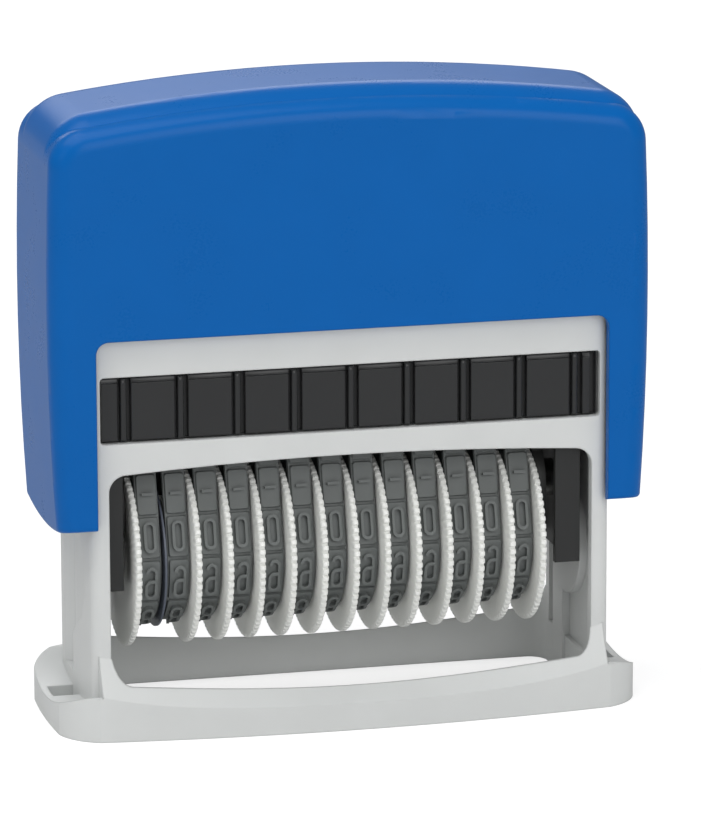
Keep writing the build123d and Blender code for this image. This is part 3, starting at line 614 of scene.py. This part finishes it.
def pad_height(x, s):
    """Height of the pad above the belt: a block with round corners and slanted sides."""
    half_x = BAND_HALF - PAD_INSET
    half_s = place_length / 2 - PAD_INSET
    dx = abs(x) - half_x + PAD_ROUND
    ds = abs(s) - half_s + PAD_ROUND
    away = math.hypot(max(dx, 0.0), max(ds, 0.0)) + min(max(dx, ds), 0.0) - PAD_ROUND
    return PAD_HIGH * max(0.0, min(1.0, -away / PAD_SLOPE))


def ruled(half, first):
    """Line positions over one place: close together at the edges, wide in the middle."""
    near = [0.0] + [first + past * MM for past in (0.0, 0.05, 0.10, 0.20, 0.34, 0.6)]
    left = [-half + value for value in near if value < half * 0.8]
    rest = [-half * 0.4, 0.0] if half > 2.0 * MM else [0.0]
    left += [value for value in rest if value > left[-1] + 0.1 * MM]
    return sorted(set(left + [-value for value in left]))


def place_form(work):
    """Belt and pad of one place, open where the next place joins."""
    across = ruled(BAND_HALF, PAD_INSET)
    along = ruled(place_length / 2, PAD_INSET)
    rows = []
    for s in along:
        top = [work.verts.new((x, s, BELT_T / 2 + pad_height(x, s))) for x in across]
        side = [work.verts.new((sign * BAND_HALF, s, -BELT_T / 2)) for sign in (1, -1)]
        rows.append(top + side)
    for a, b in zip(rows, rows[1:]):
        for k in range(len(a)):
            n = (k + 1) % len(a)
            work.faces.new((a[k], a[n], b[n], b[k]))


place_source = plain_mesh("band_place", place_form)
print("one place:", len(place_source.data.polygons), "faces")

# %% The characters, as the corner points of their lines
# Each line is a list of (across, up) from -1 to 1. A closed line ends with "closed".
digits = {
    "0": [[(-1, -1), (1, -1), (1, 1), (-1, 1), "closed"]],
    "1": [[(-0.7, 0.55), (0.1, 1.0), (0.1, -1.0)]],
    "2": [[(-1, 0.55), (-1, 1), (1, 1), (1, 0.15), (-1, -1), (1, -1)]],
    "3": [[(-1, 0.6), (-1, 1), (1, 1), (1, 0.08), (0.0, 0.08)],
          [(0.0, 0.08), (1, 0.08), (1, -1), (-1, -1), (-1, -0.6)]],
    "4": [[(0.55, -1), (0.55, 1), (-1, -0.45), (1, -0.45)]],
    "5": [[(0.95, 1), (-0.85, 1), (-0.95, 0.2), (1, 0.35), (1, -1), (-1, -1), (-1, -0.6)]],
    "6": [[(0.9, 0.7), (0.7, 1), (-1, 1), (-1, -1), (1, -1), (1, 0.15), (-0.95, 0.15)]],
    "7": [[(-1, 1), (1, 1), (-0.3, -1)]],
    "8": [[(-0.85, 0.08), (-0.85, 1), (0.85, 1), (0.85, 0.08), "closed"],
          [(-1, 0.08), (1, 0.08), (1, -1), (-1, -1), "closed"]],
    "9": [[(-0.9, -0.7), (-0.7, -1), (1, -1), (1, 1), (-1, 1), (-1, -0.15), (0.95, -0.15)]],
    "-": [[(-1.2, 0), (1.2, 0)]],
    ".": [[(-0.2, -0.9), (0.2, -0.9)]],
}
layout = ["1", ".", "-", "0", "9", "8", "7", "6", "5", "4", "3", "2"]
GLYPH_HALF = 0.60 * MM      # half the width of a character
GLYPH_HIGH = 1.72 * MM      # half its height


def glyph_mesh():
    """All characters of one band as lines on the flat strip."""
    points, edges = [], []
    for k, sign in enumerate(layout):
        for stroke in digits.get(sign, []):
            closed = stroke[-1] == "closed"
            corners = stroke[:-1] if closed else stroke
            first = len(points)
            points += [(x * GLYPH_HALF, k * place_length + up * GLYPH_HIGH, 0.0) for x, up in corners]
            edges += [(first + n, first + n + 1) for n in range(len(corners) - 1)]
            if closed:
                edges.append((first + len(corners) - 1, first))
    mesh = bpy.data.meshes.new("characters")
    mesh.from_pydata(points, edges, [])
    return mesh


print("characters:", "".join(layout))

# %% The band's tree: repeat the place, add characters, bend round the loop
RIDGE_SEAT = 0.42           # share of a ridge's height from its middle down to the pad's top

bench, given = new_tree("number_band", **{
    "Places": 1, "Place length": 0.0, "Corner": 0.0, "Ridge foot": 0.0, "Ridge top": 0.0, "Pad top": 0.0,
    "Ridge high": 0.0, "Place": place_source, "Path": belt_path, "Finish": finishes["band_rubber"]})
cell = bench.add("GeometryNodeObjectInfo", sockets={"Object": given["Place"]})["Geometry"]
step = bench.vector(y=given["Place length"])
stations = bench.add("GeometryNodeMeshLine", sockets={"Count": given["Places"], "Offset": step})["Mesh"]
pads = bench.add("GeometryNodeInstanceOnPoints", sockets={"Points": stations, "Instance": cell})
pads = bench.add("GeometryNodeRealizeInstances", sockets={"Geometry": pads["Instances"]})["Geometry"]
strokes = bench.add("GeometryNodeMeshToCurve", sockets={"Mesh": given["Geometry"]})["Curve"]
soft_corner = {"Curve": strokes, "Radius": given["Corner"], "Count": 6, "Limit Radius": True}
strokes = bench.add("GeometryNodeFilletCurve", {"mode": "POLY"}, soft_corner)["Curve"]
strokes = bench.add("GeometryNodeSetCurveNormal", {"mode": "Z_UP"}, {"Curve": strokes})["Curve"]
ridge_form = {"Bottom Width": given["Ridge foot"], "Top Width": given["Ridge top"],
              "Height": given["Ridge high"], "Offset": 0.0}
ridge = bench.add("GeometryNodeCurvePrimitiveQuadrilateral", {"mode": "TRAPEZOID"}, ridge_form)["Curve"]
ridges = {"Curve": strokes, "Profile Curve": ridge, "Fill Caps": True}
ridges = bench.add("GeometryNodeCurveToMesh", sockets=ridges)["Mesh"]
lift = bench.vector(z=given["Pad top"] + given["Ridge high"] * RIDGE_SEAT)
ridges = bench.add("GeometryNodeTransform", sockets={"Geometry": ridges, "Translation": lift})["Geometry"]
flat = bench.add("GeometryNodeJoinGeometry", sockets={"Geometry": pads})
bench.tree.links.new(ridges.socket, flat.node.inputs["Geometry"])
path = bench.add("GeometryNodeObjectInfo", sockets={"Object": given["Path"]})["Geometry"]
path = bench.add("GeometryNodeMeshToCurve", sockets={"Mesh": path})["Curve"]
length = bench.add("GeometryNodeCurveLength", sockets={"Curve": path})["Length"]
spot = bench.add("ShaderNodeSeparateXYZ", sockets={0: bench.add("GeometryNodeInputPosition")["Position"]})
walked = length.maths("FLOORED_MODULO", spot[1] + length * 2.0, length)
sample = bench.add("GeometryNodeSampleCurve", {"mode": "LENGTH"}, {"Curves": path, "Length": walked})


def vectors(operation, sockets):
    """A Vector Math node of the band's tree."""
    return bench.add("ShaderNodeVectorMath", {"operation": operation}, sockets)["Vector"]


outward = vectors("CROSS_PRODUCT", {0: sample["Tangent"], 1: (1.0, 0.0, 0.0)})
outward = vectors("SCALE", {0: outward, "Scale": spot[2]})
centre = vectors("ADD", {0: sample["Position"], 1: outward})
where = vectors("ADD", {0: centre, 1: bench.vector(x=spot[0])})
bent = bench.add("GeometryNodeSetPosition", sockets={"Geometry": flat["Geometry"], "Position": where})
close_tree(bench, bent["Geometry"], given["Finish"])
band_tree = bench.tree

# %% Make the band once and place thirteen
STROKE_CORNER = 0.56 * MM
RIDGE_FOOT = 0.38 * MM
RIDGE_TOP = 0.20 * MM
RIDGE_HIGH = 0.62 * MM

band = grown("number_band", glyph_mesh(), band_tree, **{
    "Places": PLACES, "Place length": place_length, "Corner": STROKE_CORNER, "Ridge foot": RIDGE_FOOT,
    "Ridge top": RIDGE_TOP, "Pad top": BELT_T / 2 + PAD_HIGH, "Ridge high": RIDGE_HIGH,
    "Place": place_source, "Path": belt_path, "Finish": finishes["band_rubber"]})
tidy(band, gap=0.004 * MM, smooth_below=32.0)
heights = [v.co.z / MM for v in band.data.vertices]
print("band from", round(min(heights), 2), "to", round(max(heights), 2), "mm, triangles", triangles(band))
for number in numbers:
    node = "number_band_" + number
    piece = placed("band_" + number, band.data.copy())
    piece.data.transform(Matrix.Translation((middle(node, 0), 0.0, 0.0)))
    finished(piece, "unit", "band_rubber", node)
for helper in (band, place_source, belt_path):
    bpy.data.objects.remove(helper)

# %% [markdown]
# ## Ink drawer
# The drawer is a shallow black tray whose face fills the window of the frame. Nine upright ribs give
# the fingers a grip, with flat panels between them. Each rib is a rounded bar with a groove at both
# sides. A face like this is one long section: heights along X that repeat rib by rib. So the section
# is drawn once as a line, and the face is that line carried upwards, with the panels' small top edge
# set back. The tray behind it is open below and in front, so a roof and three walls make it.

# %% Sizes of the drawer, from its part
tray_low, tray_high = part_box("ink_tray")
RIB_PITCH = 7.17            # in mm, as the section's own sizes are
RIBS_A_SIDE = 4             # beside the middle one
END_HIGH = 0.30             # the face's two ends, in mm forward
FACE_PLANE = 0.55 * MM      # the section's zero, behind the part's front
FACE_BACK = 0.9 * MM

# One rib with its two grooves, a narrow one before it and a wide deep one after it. Each point is
# (across, forward), in mm. The first two and the last two lie on the panels at its sides.
rib_form = [(-0.84, 0.38), (-0.72, 0.26), (-0.69, -0.35), (-0.44, -0.35), (-0.42, 0.34), (-0.36, 0.50),
            (-0.26, 0.55), (-0.08, 0.55), (0.10, 0.52), (0.26, 0.42), (0.38, 0.28), (0.42, 0.10),
            (0.44, -0.55), (0.92, -0.55), (0.95, 0.32), (1.02, 0.38)]
# The slot near the right end: (distance from the end, forward), in mm.
end_slot = [(0.90, 0.30), (0.88, -0.50), (0.12, -0.50), (0.10, 0.30)]


def rib_section(reach):
    """Face section along X: (x, distance forward, is it on a panel)."""
    half_reach = reach / MM
    points = [(-half_reach, END_HIGH, True)]
    for k in range(-RIBS_A_SIDE, RIBS_A_SIDE + 1):
        for place, (at, out) in enumerate(rib_form):
            points.append((k * RIB_PITCH + at, out, place < 2 or place >= len(rib_form) - 2))
    points += [(half_reach - at, out, False) for at, out in end_slot]
    points.append((half_reach, END_HIGH, False))
    return [(x * MM, out * MM, on_panel) for x, out, on_panel in points]


def face_levels(low, high):
    """Heights of the face: (z, share kept on a panel, share kept on a rib)."""
    above = [(low, 0.2, 0.2), (low + 0.18 * MM, 1.0, 0.9)]
    below = [(0.62, 1.0, 1.0), (0.50, 0.45, 1.0), (0.24, 0.40, 0.95), (0.0, 0.1, 0.5)]
    return above + [(high - down * MM, panel, rib) for down, panel, rib in below]


def drawer(work):
    """The front of the drawer: ribs, grooves and panels."""
    front = tray_low.y + FACE_PLANE
    low, high = tray_low.z, tray_high.z
    section = rib_section(tray_high.x)
    rows = []
    for z, panel_keep, rib_keep in face_levels(low, high):
        kept = [(x, out * (panel_keep if on_panel else rib_keep)) for x, out, on_panel in section]
        rows.append([work.verts.new((x, front - out, z)) for x, out in kept])
    for a, b in zip(rows, rows[1:]):
        for k in range(len(a) - 1):
            work.faces.new((a[k], a[k + 1], b[k + 1], b[k]))
    ends = (tray_low.x, tray_high.x)
    back = [[work.verts.new((x, front + FACE_BACK, z)) for x in ends] for z in (low, high)]
    work.faces.new((back[0][0], back[1][0], back[1][1], back[0][1]))
    work.faces.new([back[0][0], back[0][1]] + list(reversed(rows[0])))
    work.faces.new([back[1][1], back[1][0]] + rows[-1])
    work.faces.new([row[0] for row in rows] + [back[1][0], back[0][0]])
    work.faces.new([row[-1] for row in reversed(rows)] + [back[0][1], back[1][1]])


face = plain_mesh("drawer", drawer)
tidy(face, smooth_below=40.0)
finished(face, "frame", "drawer_black")
print("drawer face triangles", triangles(face))

# %% The tray behind the face, with its rear wall
pad_low, pad_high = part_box("ink_pad")
TRAY_WALL = 0.9 * MM
PAD_ROOM = 0.1 * MM         # between the pad and the tray's walls
OVERLAP = 0.1 * MM          # the walls reach into the roof
INTO_FACE = 0.2 * MM        # and the tray into its face
WALLS_UP = 0.2 * MM         # the walls end above the pad's low face


def box_walls(work, low, high):
    """One closed block between two corners."""
    made = bmesh.ops.create_cube(work, size=1.0)["verts"]
    for vert in made:
        vert.co = Vector((low[a] + (vert.co[a] + 0.5) * (high[a] - low[a]) for a in range(3)))


def tray_shell(work):
    """Roof, two side walls and a rear wall."""
    reach = pad_high.x + PAD_ROOM + TRAY_WALL
    inner_y = pad_high.y + PAD_ROOM
    roof = pad_high.z
    front = tray_low.y + FACE_PLANE + FACE_BACK - INTO_FACE
    wall_low, wall_high = pad_low.z + WALLS_UP, roof + OVERLAP
    box_walls(work, (-reach, front, roof), (reach, tray_high.y, tray_high.z))
    for s in (-1, 1):
        edges = sorted((s * reach, s * (reach - TRAY_WALL)))
        box_walls(work, (edges[0], front, wall_low), (edges[1], tray_high.y, wall_high))
    box_walls(work, (-reach, inner_y, wall_low), (reach, tray_high.y, wall_high))


tray = plain_mesh("drawer_tray", tray_shell)
bevel = tray.modifiers.new("edges", "BEVEL")
bevel.width = 0.15 * MM
bevel.segments = 2
finished(tray, "frame", "drawer_black", "ink_tray")

# %% [markdown]
# ## Ink pad
# The pad is a felt block in the drawer, face down over the type. Felt has no sharp edge: it is a
# crowned closed form, drawn in a little at its rim, with a soft fibre surface.

# %% The pad's form
PAD_ACROSS = 44             # faces along X
PAD_ALONG = 16              # faces along Y
RIM_POWER_X = 14            # the higher, the narrower the soft rim
RIM_POWER_Y = 8
RIM_DROP = 0.16             # share of the half thickness that the rim loses
CROWN_DROP = 0.03           # and that the low face loses outside its middle


def pad_form(work):
    """A felt block: crowned below, rounded at every edge."""
    size = pad_high - pad_low
    centre = (pad_high + pad_low) / 2
    rows = {}
    for face_z in (-1, 1):
        for j in range(PAD_ALONG + 1):
            for i in range(PAD_ACROSS + 1):
                u = 2 * i / PAD_ACROSS - 1
                v = 2 * j / PAD_ALONG - 1
                rim = max(abs(u) ** RIM_POWER_X, abs(v) ** RIM_POWER_Y)
                crown = CROWN_DROP * (u * u + v * v) if face_z < 0 else 0.0
                x = centre.x + u * size.x / 2 * (1 - 0.004 * rim)
                y = centre.y + v * size.y / 2 * (1 - 0.012 * rim)
                z = centre.z + face_z * size.z / 2 * (1 - RIM_DROP * rim - crown)
                rows[face_z, i, j] = work.verts.new((x, y, z))

    def quad(*keys):
        work.faces.new([rows[key] for key in keys])

    for j in range(PAD_ALONG):
        for i in range(PAD_ACROSS):
            quad((1, i, j), (1, i + 1, j), (1, i + 1, j + 1), (1, i, j + 1))
            quad((-1, i, j), (-1, i, j + 1), (-1, i + 1, j + 1), (-1, i + 1, j))
    end = PAD_ALONG
    for i in range(PAD_ACROSS):
        quad((-1, i, 0), (-1, i + 1, 0), (1, i + 1, 0), (1, i, 0))
        quad((1, i, end), (1, i + 1, end), (-1, i + 1, end), (-1, i, end))
    end = PAD_ACROSS
    for j in range(PAD_ALONG):
        quad((1, 0, j), (1, 0, j + 1), (-1, 0, j + 1), (-1, 0, j))
        quad((-1, end, j), (-1, end, j + 1), (1, end, j + 1), (1, end, j))


# %% The pad's felt
felt = bpy.data.materials.new("inked_felt")
bench = blank_bench(felt)
place = bench.add("ShaderNodeTexCoord")["Object"]
fibre = bench.noise(place, 0.16 * MM, 5.0)
stain = bench.noise(place, 5.0 * MM, 2.0)
tone = bench.mix((stain * 1.4 - 0.2).clip(), colour(20, 20, 34), colour(34, 34, 52))
raised = {"Strength": 0.8, "Distance": 0.10 * MM, "Height": fibre}
relief = bench.add("ShaderNodeBump", sockets=raised)["Normal"]
cloth = {"Base Color": tone, "Roughness": 0.75 + fibre * 0.2, "Normal": relief, "Sheen Weight": 0.4}
cloth = bench.add("ShaderNodeBsdfPrincipled", sockets=cloth)["BSDF"]
bench.add("ShaderNodeOutputMaterial", sockets={"Surface": cloth})
finishes["ink_felt"] = felt

pad = plain_mesh("felt_pad", pad_form)
tidy(pad, smooth_below=60.0)
finished(pad, "frame", "ink_felt", "ink_pad")

# %% [markdown]
# ## Return springs
# Two compression springs stand between the frame's deck and the carrier. A real one has its end coils
# laid flat so that it stands square. That is a helix whose pitch fades out at both ends, with round
# wire swept along it. The springs shorten as the cap goes down; here they stay at their rest length.

# %% The spring's tree
bench, given = new_tree("return_spring", **{
    "Wire radius": 0.0, "Round": 1, "Finish": finishes["spring_steel"]})
coil = bench.add("GeometryNodeMeshToCurve", sockets={"Mesh": given["Geometry"]})["Curve"]
wire = {"Resolution": given["Round"], "Radius": given["Wire radius"]}
wire = bench.add("GeometryNodeCurvePrimitiveCircle", sockets=wire)["Curve"]
swept = {"Curve": coil, "Profile Curve": wire, "Fill Caps": True}
swept = bench.add("GeometryNodeCurveToMesh", sockets=swept)["Mesh"]
close_tree(bench, swept, given["Finish"])
spring_tree = bench.tree


POINTS_A_TURN = 28


def coil_mesh(centre_x, low, high, radius, wire, turns, flat_turns):
    """A helix with closed ends, as a line mesh."""
    total = turns + 2 * flat_turns
    count = int(total * POINTS_A_TURN)
    points = []
    climb = high - low - wire * 2 - flat_turns * 4 * wire
    for k in range(count + 1):
        t = total * k / count
        if t < flat_turns:
            z = low + wire + 2 * wire * t
        elif t > total - flat_turns:
            z = high - wire - 2 * wire * (total - t)
        else:
            z = low + wire + 2 * wire * flat_turns + climb * (t - flat_turns) / turns
        a = 2 * math.pi * t
        points.append((centre_x + radius * math.cos(a), radius * math.sin(a), z))
    mesh = bpy.data.meshes.new("coil")
    mesh.from_pydata(points, [(k, k + 1) for k in range(count)], [])
    return mesh


# %% Both springs
WIRE_R = 0.33 * MM
WIRE_ROUND = 10             # faces round the wire
INSIDE_PART = 0.04 * MM     # the coil stays this much inside its part's box
TURNS = 6.0
FLAT_TURNS = 1.2

for side in ("left", "right"):
    node = "return_spring_" + side
    low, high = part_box(node)
    coil_radius = (high.x - low.x) / 2 - WIRE_R - INSIDE_PART
    base = coil_mesh((low.x + high.x) / 2, low.z, high.z, coil_radius, WIRE_R, TURNS, FLAT_TURNS)
    spring = grown("spring_" + side, base, spring_tree, **{
        "Wire radius": WIRE_R, "Round": WIRE_ROUND, "Finish": finishes["spring_steel"]})
    tidy(spring, smooth_below=60.0)
    finished(spring, "frame", "spring_steel", node)
    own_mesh(spring)
    print(node, "triangles", triangles(spring))
